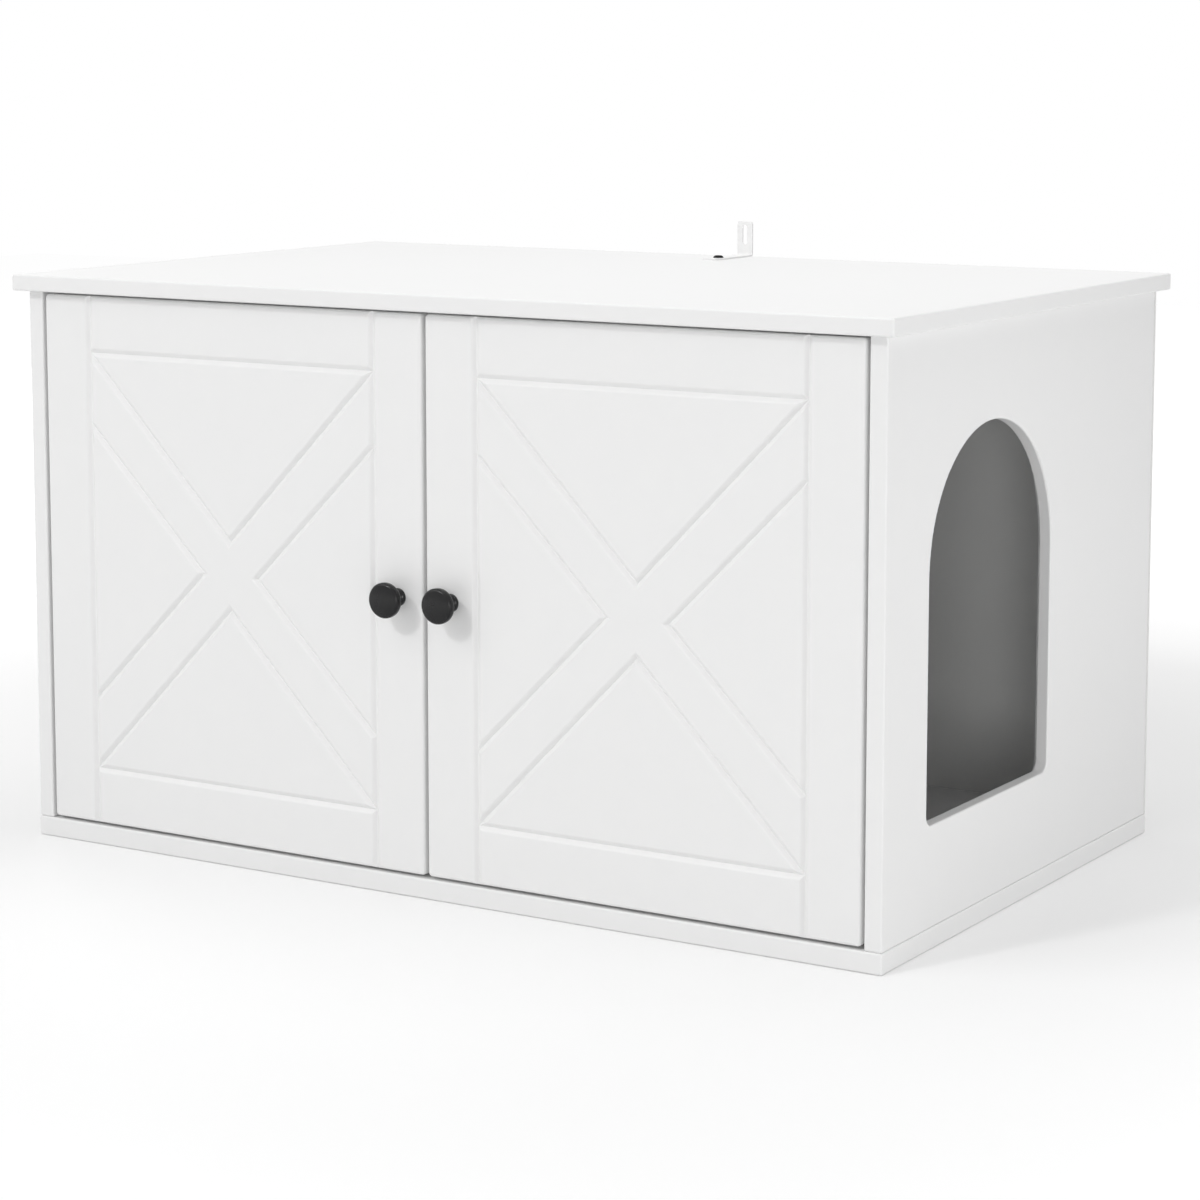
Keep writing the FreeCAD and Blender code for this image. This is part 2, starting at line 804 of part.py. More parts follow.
# Magnetic catch and strike plates
def magnet_block(x, clearance=0, overrun=0):
    """One magnet between its two pole plates, or the pocket that they fill."""
    half_length = magnet_length / 2 + clearance
    half_height = magnet_height / 2 + pole_thickness + clearance
    return box(
        x - half_length, x + half_length,
        catch_front - overrun, catch_front + magnet_depth + clearance,
        catch_middle_z - half_height, catch_middle_z + half_height,
    )


def catch_housing():
    half = catch_width / 2
    back = catch_front + catch_depth
    case = box(-half, half, catch_front, back, catch_bottom, ceiling)
    case = case.makeFillet(catch_corner, edges_at(case, UP, catch_bottom))
    reach = half + catch_ear_length
    ears = box(-reach, reach, catch_front, back, ceiling - catch_ear_thickness, ceiling)
    ears = ears.makeFillet(catch_corner, edges_along(ears, UP))
    case = case.fuse(ears)
    pockets = [magnet_block(side * magnet_x, fixing_clearance, cut_overrun) for side in SIDES]
    return case.cut(Part.makeCompound(pockets)).cut(both_sides([catch_screw_hole()]))


def catch_magnets():
    half_length = magnet_length / 2
    half_height = magnet_height / 2
    return both_sides([
        box(
            magnet_x - half_length, magnet_x + half_length,
            catch_front, catch_front + magnet_depth,
            catch_middle_z - half_height, catch_middle_z + half_height,
        )
    ])


def catch_pole_plates():
    half_length = magnet_length / 2
    start = magnet_height / 2
    end = start + pole_thickness
    plates = []
    for low, high in ((start, end), (-end, -start)):
        plates.append(box(
            magnet_x - half_length, magnet_x + half_length,
            catch_front, catch_front + magnet_depth,
            catch_middle_z + low, catch_middle_z + high,
        ))
    return both_sides(plates)


def catch_screw_seat():
    return Vector(catch_ear_x, catch_middle_y, ceiling - catch_ear_thickness)


def catch_screws():
    return both_sides([
        pan_screw(
            catch_screw_diameter,
            catch_screw_length,
            catch_screw_head_diameter,
            catch_screw_head_height,
            catch_screw_seat(),
            UP,
        )
    ])


def catch_screw_hole():
    return screw_hole(catch_screw_diameter, catch_screw_length, catch_screw_seat(), UP)


def strike_seat():
    return Vector(magnet_x, door_back + strike_thickness, catch_middle_z)


def right_strike_plate():
    half_length = strike_length / 2
    half_height = strike_height / 2
    plate = box(
        magnet_x - half_length, magnet_x + half_length,
        door_back, door_back + strike_thickness,
        catch_middle_z - half_height, catch_middle_z + half_height,
    )
    plate = plate.makeFillet(strike_corner, edges_along(plate, BACK))
    return plate.cut(strike_sink()).cut(strike_screw_hole())


def strike_sink():
    """The sunk seat of the strike plate's screw head."""
    top = strike_seat()
    mouth = strike_screw_head_diameter / 2 + fixing_clearance
    waist = strike_screw_diameter / 2 + fixing_clearance
    return Part.makeCone(mouth, waist, strike_screw_head_height, top, -BACK)


def right_strike_screw():
    head = strike_screw_head_diameter / 2
    shank = strike_screw_diameter / 2
    tip = strike_screw_length * (1 - screw_tip_share)
    outline = polyline([
        (0, 0), (head, 0), (shank, strike_screw_head_height), (shank, tip), (0, strike_screw_length),
    ])
    return turned(outline, strike_seat(), -BACK)


def strike_screw_hole():
    return screw_hole(strike_screw_diameter, strike_screw_length, strike_seat(), -BACK)


# Wall bracket
def wall_bracket():
    """An angle on the back of the top: a leaf screwed down, and a slotted upright for the wall."""
    left = bracket_x - bracket_width / 2
    right = bracket_x + bracket_width / 2
    front = top_back - bracket_leaf_length
    high = top_surface + bracket_upright_height
    leaf = box(left, right, front, top_back, top_surface, top_surface + bracket_thickness)
    leaf = leaf.makeFillet(bracket_corner, [
        edge for edge in edges_along(leaf, UP) if edge.BoundBox.Center.y < bracket_screw_y
    ])
    upright = box(left, right, top_back - bracket_thickness, top_back, top_surface, high)
    upright = upright.makeFillet(bracket_corner, [
        edge for edge in edges_along(upright, BACK) if edge.BoundBox.Center.z > high - same_place
    ])
    angle = leaf.fuse(upright).removeSplitter()
    outer = (top_back, top_surface)
    inner = (top_back - bracket_thickness, top_surface + bracket_thickness)
    for (y, z), radius in (
        (outer, bracket_bend_radius + bracket_thickness),
        (inner, bracket_bend_radius),
    ):
        bend = [
            edge
            for edge in edges_along(angle, RIGHT)
            if math.hypot(edge.BoundBox.Center.y - y, edge.BoundBox.Center.z - z) < same_place
        ]
        angle = angle.makeFillet(radius, bend)
    return angle.cut(bracket_slot()).cut(bracket_screw_hole())


def bracket_slot():
    """The upright slot that a wall screw passes through."""
    half = bracket_slot_width / 2
    high = top_surface + bracket_upright_height - bracket_slot_top_margin - half
    low = high + bracket_slot_width - bracket_slot_length
    start = top_back - bracket_thickness - cut_overrun
    depth = bracket_thickness + 2 * cut_overrun
    ends = [rod(bracket_slot_width, depth, Vector(bracket_x, start, z), BACK) for z in (low, high)]
    return box(bracket_x - half, bracket_x + half, start, start + depth, low, high).fuse(ends)


def bracket_screw_seat():
    return Vector(bracket_x, bracket_screw_y, top_surface + bracket_thickness)


def wall_bracket_screw():
    return pan_screw(
        bracket_screw_diameter,
        bracket_screw_length,
        bracket_screw_head_diameter,
        bracket_screw_head_height,
        bracket_screw_seat(),
        -UP,
    )


def bracket_screw_hole():
    return screw_hole(bracket_screw_diameter, bracket_screw_length, bracket_screw_seat(), -UP)


def cabinet_nodes():
    low, high = hinge_heights
    return {
        "bottom_panel": bottom_panel(),
        "left_side_panel": left_side_panel(),
        "right_side_panel": right_side_panel(),
        "top_panel": top_panel(),
        "back_panel": back_panel(),
        "back_panel_nails": both_sides([nail(seat) for seat in nail_seats()]),
        "wooden_dowels": both_sides([dowel(*start) for start in dowel_starts()]),
        "bottom_screws": both_sides([base_screw(y) for y in base_screw_places]),
        "cam_bolts": both_sides([cam_bolt(y) for y in cam_places]),
        "cam_discs": both_sides([cam_disc(y) for y in cam_places]),
        "right_upper_hinge_arm": hinge_arm(high),
        "right_lower_hinge_arm": hinge_arm(low),
        "left_upper_hinge_arm": mirrored(hinge_arm(high)),
        "left_lower_hinge_arm": mirrored(hinge_arm(low)),
        "hinge_arm_screws": both_sides([arm_screw(seat) for seat in arm_screw_seats()]),
        "catch_housing": catch_housing(),
        "catch_magnets": catch_magnets(),
        "catch_pole_plates": catch_pole_plates(),
        "catch_screws": catch_screws(),
        "wall_bracket": wall_bracket(),
        "wall_bracket_screw": wall_bracket_screw(),
    }


def right_door_nodes():
    return {
        "door_panel": right_door_panel(),
        "door_knob": right_knob(),
        "knob_screw": right_knob_screw(),
        "hinge_cups": Part.makeCompound([hinge_cup(z) for z in hinge_heights]),
        "hinge_cup_screws": Part.makeCompound([cup_screw(seat) for seat in cup_screw_seats()]),
        "hinge_pins": Part.makeCompound([pivot_pin(z) for z in hinge_heights]),
        "strike_plate": right_strike_plate(),
        "strike_screw": right_strike_screw(),
    }


def all_nodes():
    nodes = cabinet_nodes()
    for name, shape in right_door_nodes().items():
        nodes["right_" + name] = shape
        nodes["left_" + name] = mirrored(shape)
    return nodes


os.makedirs("parts", exist_ok=True)
for name, shape in all_nodes().items():
    shape.exportStep("parts/" + name + ".step")
    print(name, len(shape.Solids), "solids", round(shape.Volume), "mm3", shape.isValid())
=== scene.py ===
# %% [markdown]
# # A white pet house with two doors
# The object is a low white cabinet: a box of painted board, two doors with a routed barn-door
# pattern, two black turned knobs, an arched doorway in its right side and a small steel angle on
# the back edge of its top. So this lesson does three things: it writes a finish for every solid,
# it models the knobs and screws again with the detail that a turned or a pressed piece has, and
# it lights the whole as a studio would.

# %% Load the solids
import json
from math import pi, radians

import bmesh
import bpy
from mathutils import Matrix, Vector


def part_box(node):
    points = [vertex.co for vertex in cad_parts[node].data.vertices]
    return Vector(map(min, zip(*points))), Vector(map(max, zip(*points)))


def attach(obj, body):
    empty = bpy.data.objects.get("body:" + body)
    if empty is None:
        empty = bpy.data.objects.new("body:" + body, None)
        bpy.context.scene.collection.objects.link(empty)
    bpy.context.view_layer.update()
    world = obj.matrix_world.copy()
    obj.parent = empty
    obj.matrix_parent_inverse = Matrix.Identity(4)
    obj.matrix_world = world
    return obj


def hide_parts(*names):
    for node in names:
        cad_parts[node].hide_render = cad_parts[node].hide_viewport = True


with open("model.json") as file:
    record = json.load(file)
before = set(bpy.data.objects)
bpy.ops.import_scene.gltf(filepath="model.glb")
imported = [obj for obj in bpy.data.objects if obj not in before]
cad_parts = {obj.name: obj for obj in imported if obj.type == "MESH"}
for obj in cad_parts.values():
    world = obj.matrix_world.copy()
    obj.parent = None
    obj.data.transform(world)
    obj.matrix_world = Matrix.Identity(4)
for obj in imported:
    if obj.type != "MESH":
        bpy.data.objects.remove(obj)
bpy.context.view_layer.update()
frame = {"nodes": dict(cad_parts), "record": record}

mm = 0.001

# %% [markdown]
# ## Finishes as sums
# A shader is a graph, and a paint that is "a little duller where the spray was thin" is a small
# sum on one of its sockets. Wiring such a sum by hand takes a dozen lines. Instead one class
# wraps a socket, and Python's own + - * and > add the Math nodes, also when the plain number
# comes first, as in 1 - share. A second class holds the tree and makes every other node: its
# settings go in first, because they decide which sockets there are, and then its sockets.

# %% A socket that does sums, and a tree that makes nodes
class Amount:
    """An output socket that adds a Math node for each sum it is part of."""

    def __init__(self, recipe, socket):
        self.recipe, self.socket = recipe, socket

    def sum(self, operation, first, second):
        return self.recipe.node("ShaderNodeMath", {"operation": operation}, {0: first, 1: second})

    def __add__(self, other):
        return self.sum("ADD", self, other)

    def __sub__(self, other):
        return self.sum("SUBTRACT", self, other)

    def __rsub__(self, other):
        return self.sum("SUBTRACT", other, self)

    def __mul__(self, other):
        return self.sum("MULTIPLY", self, other)

    def __gt__(self, other):
        return self.sum("GREATER_THAN", self, other)

    __radd__, __rmul__ = __add__, __mul__


class Recipe:
    """A node tree that starts empty and is written node by node."""

    def __init__(self, tree):
        self.tree = tree
        tree.nodes.clear()

    def node(self, kind, settings=None, sockets=None, output=0):
        made = self.tree.nodes.new(kind)
        for key, setting in (settings or {}).items():
            setattr(made, key, setting)
        for key, value in (sockets or {}).items():
            if isinstance(value, Amount):
                self.tree.links.new(value.socket, made.inputs[key])
            else:
                made.inputs[key].default_value = value
        return Amount(self, made.outputs[output]) if made.outputs else None


# %% [markdown]
# ## Words for a finish
# Every finish here is made from the same few things: cloudy noise of some size, two colours that
# are blended by it, and a fine relief. They become five short functions. Sizes are those on the
# real surface, so an orange peel of 2.2 mm is written as 2.2 * mm. Object coordinates carry the
# pattern: every object sits at the origin, so they are also the metres of the frame, and a
# pattern runs on from one board to the next.

# %% Noise, blends and the closing shader
finishes = {}


def new_finish(slot):
    """An empty material for one of the record's slots, and the coordinates that it reads."""
    finishes[slot] = bpy.data.materials.new(slot + "_finish")
    finishes[slot].use_nodes = True
    recipe = Recipe(finishes[slot].node_tree)
    return recipe, recipe.node("ShaderNodeTexCoord", output="Object")


def speck(recipe, place, size, detail=2.0):
    """Cloudy noise from 0 to 1 with patches of about this size."""
    return recipe.node("ShaderNodeTexNoise", {},
                       {"Vector": place, "Scale": 1 / size, "Detail": detail})


def stretch(recipe, place, scale):
    """The coordinates drawn out, so that noise on them becomes streaks."""
    return recipe.node("ShaderNodeMapping", {}, {"Vector": place, "Scale": scale})


def blend(recipe, share, first, second):
    """A colour between two, where share is 0 for the first and 1 for the second."""
    # A Mix node has sockets for each kind of data: 6, 7 and output 2 are those for colours.
    return recipe.node("ShaderNodeMix", {"data_type": "RGBA"},
                       {0: share, 6: (*first, 1.0), 7: (*second, 1.0)}, output=2)


def close(recipe, colour, roughness, height, depth, **plain):
    """The shader itself: colour, roughness, a relief of this depth, and plain numbers."""
    relief = recipe.node("ShaderNodeBump", {}, {"Strength": 1.0, "Distance": depth,
                                               "Height": height})
    sockets = {"Base Color": colour, "Roughness": roughness, "Normal": relief}
    sockets.update({key.replace("_", " "): value for key, value in plain.items()})
    shader = recipe.node("ShaderNodeBsdfPrincipled", {}, sockets)
    recipe.node("ShaderNodeOutputMaterial", {}, {"Surface": shader})


# %% [markdown]
# ## White satin paint
# The boards are fibreboard, sprayed white and left satin. Such paint isn't one flat white: over
# a hand's width it is a touch warmer or cooler, over a few millimetres its skin rises and falls
# as an orange peel, and its gloss drifts where the coat was thinner. A plain colour would make
# the doors look like paper. The differences are kept very small, because the real boards look
# even from across a room, and only their soft reflections show the skin.

# %% Paint for the boards
paint, place = new_finish("painted_board")
drift = speck(paint, place, 380 * mm, detail=3.0)
coat = speck(paint, place, 26 * mm, detail=3.0)
peel = speck(paint, place, 2.2 * mm, detail=1.0)
close(paint,
      colour=blend(paint, 0.5 * drift + 0.5 * coat, (0.842, 0.844, 0.846), (0.872, 0.870, 0.864)),
      roughness=0.34 + 0.14 * coat + 0.04 * peel,
      height=peel, depth=0.012 * mm)
print("painted_board:", len(paint.tree.nodes), "nodes")

# %% [markdown]
# ## The thin back and the wall angle
# The back panel is white-faced hardboard. Its press leaves a fine mesh, so two crossed sets of
# bands make its relief. The angle on the top is powder-coated steel: the powder melts into a
# pebbled skin, finer and deeper than the peel of a sprayed board.

# %% Hardboard and powder coat
hardboard, place = new_finish("back_board")
mesh_pitch = 1.6 * mm
wave_scale = 2 * pi / 20 / mesh_pitch  # at scale 1, the node's bands are 2 pi / 20 apart
threads = [hardboard.node("ShaderNodeTexWave", {"bands_direction": way},
                          {"Vector": place, "Scale": wave_scale, "Distortion": 0.6}, output=1)
           for way in ("X", "Z")]
dust = speck(hardboard, place, 90 * mm, detail=4.0)
close(hardboard,
      colour=blend(hardboard, dust, (0.80, 0.80, 0.79), (0.86, 0.86, 0.85)),
      roughness=0.52 + 0.16 * dust,
      height=threads[0] * threads[1], depth=0.04 * mm)

powder, place = new_finish("white_steel")
pebble = speck(powder, place, 0.9 * mm)
cover = speck(powder, place, 12 * mm)
close(powder,
      colour=blend(powder, cover, (0.84, 0.84, 0.84), (0.88, 0.88, 0.875)),
      roughness=0.36 + 0.16 * pebble,
      height=pebble, depth=0.03 * mm)
print("back_board and white_steel written")

# %% [markdown]
# ## Black knobs and screw
# The knobs are turned metal under a satin black lacquer. Black shows its finish only in its
# highlights, so the colour moves very little and the roughness does the work: a fine grain
# breaks the highlight along the rim. The bracket's screw is blackened steel, duller than the
# knobs and with worn, greyer spots. A white room would turn both of them grey, so their specular
# level is set below the shader's own 0.5.

# %% Lacquer and black oxide
lacquer, place = new_finish("black_knob")
tooth = speck(lacquer, place, 0.5 * mm)
mist = speck(lacquer, place, 9 * mm)
close(lacquer,
      colour=blend(lacquer, mist, (0.006, 0.006, 0.007), (0.013, 0.013, 0.013)),
      roughness=0.15 + 0.06 * tooth + 0.04 * mist,
      height=tooth, depth=0.003 * mm, Specular_IOR_Level=0.28)

oxide, place = new_finish("black_screw")
worn = speck(oxide, place, 1.4 * mm, detail=3.0)
close(oxide,
      colour=blend(oxide, worn, (0.004, 0.004, 0.005), (0.014, 0.014, 0.013)),
      roughness=0.34 + 0.22 * worn,
      height=worn, depth=0.006 * mm, Specular_IOR_Level=0.08)
print("black_knob and black_screw written")

# %% [markdown]
# ## Bright metals
# Three metals are inside: zinc-plated screws and plates, nickel-plated pressed hinges, and
# die-cast cams. A metal has no colour of its own except in what it reflects, so its look comes
# from roughness. Plating has a faint spangle, pressed nickel has streaks along the strip that it
# was cut from, and a casting is grainy and dull.

# %% Zinc, nickel and the casting
zinc, place = new_finish("plated_steel")
spangle = speck(zinc, place, 1.1 * mm, detail=3.0)
close(zinc,
      colour=blend(zinc, spangle, (0.66, 0.66, 0.65), (0.77, 0.77, 0.75)),
      roughness=0.24 + 0.18 * spangle,
      height=spangle, depth=0.004 * mm, Metallic=1.0)

nickel, place = new_finish("hinge_steel")
streak = speck(nickel, stretch(nickel, place, (1.0, 1.0, 0.06)), 0.4 * mm)
handled = speck(nickel, place, 14 * mm)
close(nickel,
      colour=blend(nickel, handled, (0.70, 0.70, 0.69), (0.79, 0.79, 0.78)),
      roughness=0.16 + 0.12 * streak + 0.08 * handled,
      height=streak, depth=0.003 * mm, Metallic=1.0)

casting, place = new_finish("cast_zinc")
grit = speck(casting, place, 0.6 * mm, detail=4.0)
close(casting,
      colour=blend(casting, grit, (0.52, 0.52, 0.52), (0.66, 0.66, 0.65)),
      roughness=0.42 + 0.20 * grit,
      height=grit, depth=0.02 * mm, Metallic=1.0)
print("three metals written")

# %% [markdown]
# ## Plastic, magnet and dowel
# The catch is moulded in white plastic with a spark-eroded grain, its magnets are sintered and
# speckled, and the dowels are beech. Beech shows short dark flecks along the grain, which is the
# length of the dowel, so noise is stretched upwards and cut off with > to leave only its peaks.

# %% Moulding, ferrite and beech
moulding, place = new_finish("white_plastic")
spark = speck(moulding, place, 0.35 * mm, detail=1.0)
tint = speck(moulding, place, 30 * mm)
close(moulding,
      colour=blend(moulding, tint, (0.83, 0.83, 0.82), (0.87, 0.87, 0.86)),
      roughness=0.46 + 0.14 * spark,
      height=spark, depth=0.01 * mm)

ferrite, place = new_finish("ferrite")
sinter = speck(ferrite, place, 0.5 * mm, detail=4.0)
close(ferrite,
      colour=blend(ferrite, sinter, (0.060, 0.060, 0.066), (0.125, 0.125, 0.130)),
      roughness=0.55 + 0.25 * sinter,
      height=sinter, depth=0.02 * mm)

beech, place = new_finish("beech")
along = stretch(beech, place, (1.0, 1.0, 0.08))
fleck = speck(beech, along, 0.8 * mm) > 0.60
ring = speck(beech, along, 3.0 * mm, detail=3.0)
close(beech,
      colour=blend(beech, 0.75 * ring + 0.25 * fleck, (0.76, 0.59, 0.41), (0.60, 0.42, 0.26)),
      roughness=0.55 + 0.15 * ring,
      height=ring, depth=0.03 * mm)
print("finishes:", ", ".join(sorted(finishes)))

# %% [markdown]
# ## Dress the solids
# The record says which slot each solid belongs to, so one loop gives every solid its finish. The
# meshes are left as they came: only the material in their slot changes.

# %% A finish for every solid
slot_of = {part["node"]: part["material_slot"] for part in frame["record"]["subparts"]}
for name, slot in slot_of.items():
    materials = frame["nodes"][name].data.materials
    materials.clear()
    materials.append(finishes[slot])
print("dressed", len(slot_of), "solids from", len(set(slot_of.values())), "slots")

# %% [markdown]
# ## Turning on a lathe
# A knob, a screw and a cam are turned shapes. On a lathe the cutter follows an outline while the
# work spins, and Blender's spin does the same: a few corner points give the outline, a vertex
# bevel rounds the corners that the cutter rounds, and spin sweeps the wire round the axis. Spin
# meets itself after a full turn and at the poles, so doubles are merged there, and only then are
# the normals turned outwards. Edges sharper than an angle are marked sharp, the others shaded
# smooth.

# %% The lathe
corner_segments, weld = 5, 0.001 * mm


def turned(outline, rounding, steps):
    """Spins an outline of (radius, height) corners about Z, some of them rounded."""
    work = bmesh.new()
    corners = [work.verts.new((radius, 0.0, height)) for radius, height in outline]
    for first, second in zip(corners, corners[1:]):
        work.edges.new((first, second))
    for number, reach in rounding.items():
        bmesh.ops.bevel(work, geom=[corners[number]], offset=reach, offset_type="OFFSET",
                        affect="VERTICES", segments=corner_segments, profile=0.5, material=-1)
    bmesh.ops.spin(work, geom=work.verts[:] + work.edges[:], cent=(0, 0, 0), axis=(0, 0, 1),
                   angle=2 * pi, steps=steps, use_merge=True)
    bmesh.ops.remove_doubles(work, verts=work.verts, dist=weld)
    return work


def as_mesh(work, name, sharp=32):
    """Closes the work: normals outwards, soft faces, and hard edges above an angle in degrees."""
    bmesh.ops.recalc_face_normals(work, faces=work.faces)
    for face in work.faces:
        face.smooth = True
    for edge in work.edges:
        edge.smooth = edge.calc_face_angle(0.0) < radians(sharp)
    mesh = bpy.data.meshes.new(name)
    work.to_mesh(mesh)
    work.free()
    return mesh


# %% [markdown]
# ## Putting pieces in their seats
# A turned piece is made standing on the origin with its head up. To seat it, its +Z is turned to
# the way it faces and it is moved to its place, and both go into the mesh, so that the object
# itself stays at the origin like a solid of the frame. All pieces of one node become one object.

# %% Seats
body_of = {node: body for body, names in frame["record"]["behaviour"]["bodies"].items()
           for node in names}
sides = {"right": 1, "left": -1}


def seated(place, facing, twist=0.0):
    """The move from the origin, head up, to a seat that faces another way; twist in degrees."""
    turn = Vector((0, 0, 1)).rotation_difference(Vector(facing)).to_matrix().to_4x4()
    return Matrix.Translation(place) @ turn @ Matrix.Rotation(radians(twist), 4, "Z")


def fit(node, shape, seats):
    """Copies a shape to all seats of a node, and stands in for that node."""
    group = bmesh.new()
    for seat in seats:
        copy = shape.copy()
        copy.transform(seat)
        group.from_mesh(copy)
        bpy.data.meshes.remove(copy)
    mesh = bpy.data.meshes.new(node + "_detail")
    group.to_mesh(mesh)
    group.free()
    mesh.materials.append(finishes[slot_of[node]])
    piece = bpy.data.objects.new(node + "_detail", mesh)
    bpy.context.collection.objects.link(piece)
    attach(piece, body_of[node])
    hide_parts(node)
    print(node, "-", len(seats), "pieces,", len(mesh.polygons), "faces")


# %% [markdown]
# ## The knobs
# Each door has one small black knob: a foot against the door, a waist for the fingertips, and a
# wide, nearly flat head with a rounded rim. The corners below are the ones a turner would mark
# out, in millimetres from the axis and from the door, and then the roundings of some of them by
# number. The rim and the waist are rounded by the bevel, and the face is a very flat dome, which
# the extra corner at half its width gives. One knob is turned, and both doors get a copy.

# %% Turn the knobs
knob_outline = [(0, 24.6), (8.0, 24.25), (15.5, 23.2), (15.5, 16.1), (5.5, 14.2), (5.5, 4.6),
                (8.0, 3.0), (8.0, 0), (2.1, 0), (2.1, 11.0), (0, 11.0)]
knob_rounding = {2: 2.4, 3: 2.4, 4: 3.2, 5: 1.4, 6: 0.6, 7: 0.3}
knob_steps = 64
work = turned([(radius * mm, height * mm) for radius, height in knob_outline],
              {corner: reach * mm for corner, reach in knob_rounding.items()}, knob_steps)
knob = as_mesh(work, "knob")
for side in sides:
    low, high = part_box(side + "_door_knob")
    seat = seated(((low.x + high.x) / 2, high.y, (low.z + high.z) / 2), (0, -1, 0))
    fit(side + "_door_knob", knob, [seat])

# %% [markdown]
# ## A recess in a head
# The screws of the hinges, knobs, catch, strikes and bracket have a cross in their heads, and the
# long screws under the bottom have a hexagon. A dark texture could stand for the recess, but it
# would look painted on from close by. Here the lathe leaves a round hole in the head. A flat
# shape is laid in that hole: for a cross a 3 by 3 grid without its corner squares, for a hexagon
# a circle of six sides. Bridging its edge to the rim of the hole closes the head, and pressing
# the shape down with an extrusion that narrows makes the recess.

# %% Press a recess
cross_arm = 0.27


def cross(work, width):
    """A flat plus sign about the axis, with arms that are a share of its width."""
    arm = cross_arm * width
    squeeze = 3 * arm / width
    grid = bmesh.ops.create_grid(work, x_segments=3, y_segments=3, size=width / 2)["verts"]
    for axis, scale in enumerate(((squeeze, 1, 1), (1, squeeze, 1))):
        inner = [point for point in grid if abs(point.co[axis]) < width / 4]
        bmesh.ops.scale(work, vec=scale, verts=inner)
    squares = {face for point in grid for face in point.link_faces}
    corners = [face for face in squares if min(map(abs, face.calc_center_median()[:2])) > arm / 2]
    bmesh.ops.delete(work, geom=corners, context="FACES")
    return [face for face in squares if face.is_valid]


def hexagon(work, width):
    """A flat hexagon about the axis."""
    ring = bmesh.ops.create_circle(work, cap_ends=True, segments=6, radius=width / 2)["verts"]
    return list(ring[0].link_faces)


def press(work, shape, width, height, depth, narrowing):
    """Lays a flat shape in the open head at a height, and presses it down."""
    rim = [edge for edge in work.edges if edge.is_boundary]
    faces = shape(work, width)
    points = list({point for face in faces for point in face.verts})
    bmesh.ops.translate(work, vec=(0, 0, height), verts=points)
    edges = {edge for face in faces for edge in face.edges if edge.is_boundary}
    bmesh.ops.bridge_loops(work, edges=rim + list(edges))
    floor = [part for part in bmesh.ops.extrude_face_region(work, geom=faces)["geom"]
             if isinstance(part, bmesh.types.BMVert)]
    bmesh.ops.translate(work, vec=(0, 0, -depth), verts=floor)
    bmesh.ops.scale(work, vec=(narrowing, narrowing, 1), verts=floor)


# %% [markdown]
# ## A screw
# A screw is a head, a shank and a thread. The thread of a wood screw could be a true helix, but
# it is buried in the board, so ridges are enough: the outline below the head zigzags, and the
# spin turns each zigzag into a ridge. A pan head has an upright edge and a rounded top. A sunk
# head is a cone, so it starts at its widest and its face is flush with what it holds.

# %% Model a screw
screw_steps = 24
thread_root, thread_neck = 0.74, 0.8  # a share of the radius, and a share of the pitch


def thread(radius, top, length, pitch):
    """Corners of a ridged shank that starts below a head and ends in a point."""
    root, point = thread_root * radius, 2 * radius
    corners, depth = [], top + thread_neck * pitch
    while depth < length - point - pitch:
        corners += [(root, -depth), (radius, -depth - pitch / 2)]
        depth += pitch
    return corners + [(root, -depth), (0, -length)]


def pan_screw(name, head, height, shank, length, pitch, crown=(0.44, 1.0), shoulder=0.45):
    """A cross-head screw: width and height of its head, width and length of its shank.

    The crown is where its top turns down, as shares of the head's width and height, and the
    shoulder is where its upright edge ends, as a share of the height.
    """
    opening, recess = 0.30 * head, 0.52 * head
    rounding = {1: 0.06 * head, 2: 0.04 * head}
    outline = [(opening, height), (crown[0] * head, crown[1] * height),
               (head / 2, shoulder * height), (head / 2, 0),
               (shank / 2, 0)] + thread(shank / 2, 0, length, pitch)
    work = turned(outline, rounding, screw_steps)
    press(work, cross, recess, height, depth=0.8 * height, narrowing=0.55)
    return as_mesh(work, name)


def sunk_screw(name, head, height, shank, length, pitch):
    """A screw whose cone-shaped head lies below the surface that it faces."""
    opening, recess, edge = 0.34 * head, 0.58 * head, 0.12 * height
    outline = [(opening, 0), (head / 2, 0), (head / 2, -edge),
               (shank / 2, -height)] + thread(shank / 2, height, length, pitch)
    work = turned(outline, {}, screw_steps)
    press(work, cross, recess, 0, depth=0.9 * height, narrowing=0.45)
    return as_mesh(work, name)


# %% [markdown]
# ## Hinge screws
# Two screws hold each hinge arm to the side of the box, one behind the other, and two hold each
# cup in the door, one above and one below. Their seats come from the boxes of the solids that
# they hold, so they can't miss: an arm's foot ends at the back of its box, and a cup's ears reach
# to the top and bottom of its box. A twist that differs from screw to screw keeps the crosses
# from standing in one line, as they never do.

# %% Screws of the hinges
foot_end, foot_step, strip = 9 * mm, 22 * mm, 2.4 * mm
arm_twist, cup_twist = 37, 29
arm_screw = pan_screw("arm_screw", head=6.8 * mm, height=1.8 * mm, shank=3.5 * mm,
                      length=14 * mm, pitch=1.3 * mm)
arm_seats = []
for side, sign in sides.items():
    for level in ("upper", "lower"):
        low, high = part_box("_".join((side, level, "hinge_arm")))
        wall = high.x if sign > 0 else low.x
        for back in (foot_end, foot_end + foot_step):
            place = (wall - sign * strip, high.y - back, (low.z + high.z) / 2)
            arm_seats.append(seated(place, (-sign, 0, 0), arm_twist * len(arm_seats)))
fit("hinge_arm_screws", arm_screw, arm_seats)

